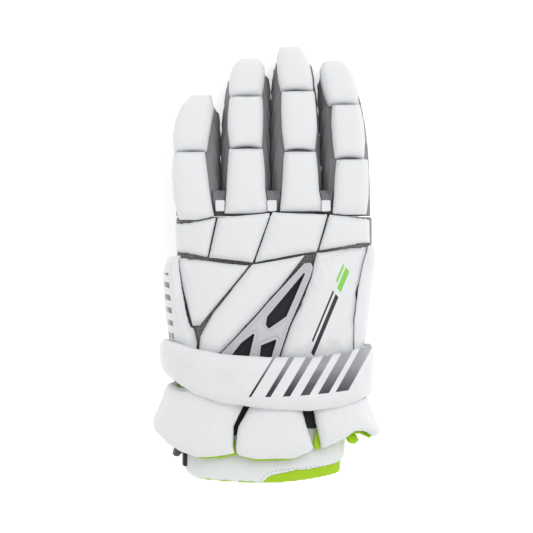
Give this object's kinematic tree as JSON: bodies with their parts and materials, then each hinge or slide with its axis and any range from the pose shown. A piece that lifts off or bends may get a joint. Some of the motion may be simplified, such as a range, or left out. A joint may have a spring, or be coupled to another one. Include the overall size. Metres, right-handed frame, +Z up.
{
  "type": "lacrosse glove",
  "caption": "Padded white field lacrosse glove for the left hand, lying palm down: segmented finger and back pads, vented back, wrist band and flared cuff over a lime lining.",
  "frame": {"origin": "centre of the bounding box's base, on the surface that the glove lies on", "axes": "+Y towards the fingertips, +X towards the index finger's side, +Z up from the palm towards the back of the hand"},
  "size_m": [0.1738, 0.3292, 0.0962],
  "materials": {
    "white_leather": "matte",
    "grey_suede": "matte",
    "lime_lining": "matte",
    "black_mesh": "matte",
    "silver_plastic": "satin",
    "black_webbing": "matte"
  },
  "bodies": {
    "root": {"hand_shell": "grey_suede", "finger_stall_pinky": "grey_suede", "finger_stall_ring": "grey_suede", "finger_stall_middle": "grey_suede", "finger_stall_index": "grey_suede", "thumb_stall": "grey_suede", "pinky_pad_base": "white_leather", "pinky_pad_tip": "white_leather", "ring_pad_base": "white_leather", "ring_pad_middle": "white_leather", "ring_pad_tip": "white_leather", "middle_pad_base": "white_leather", "middle_pad_middle": "white_leather", "middle_pad_tip": "white_leather", "index_pad_base": "white_leather", "index_pad_middle": "white_leather", "index_pad_tip": "white_leather", "thumb_pad_base": "white_leather", "thumb_pad_tip": "white_leather", "knuckle_pad_pinky": "white_leather", "knuckle_pad_ring": "white_leather", "knuckle_pad_middle": "white_leather", "knuckle_pad_index": "white_leather", "back_pad_ulnar": "white_leather", "back_pad_centre": "white_leather", "back_pad_radial": "white_leather", "finger_web_pinky": "grey_suede", "finger_tab_pinky": "white_leather", "finger_web_ring": "grey_suede", "finger_tab_ring": "white_leather", "finger_web_middle": "grey_suede", "finger_tab_middle": "white_leather", "vent_mesh": "black_mesh", "vent_frame": "silver_plastic", "side_pad_ulnar": "white_leather", "side_pad_radial": "white_leather", "wristband": "white_leather", "wristband_lining": "lime_lining", "cuff_petal_ulnar": "white_leather", "petal_lining_ulnar": "lime_lining", "cuff_petal_radial": "white_leather", "petal_lining_radial": "lime_lining", "cuff_petal_centre": "white_leather", "petal_lining_centre": "lime_lining", "cuff_gusset_ulnar": "black_mesh", "cuff_gusset_radial": "black_mesh", "cuff_band": "white_leather", "closure_strap": "black_webbing", "elastic_loop": "grey_suede", "pull_tab": "lime_lining"}
  },
  "joints": []
}
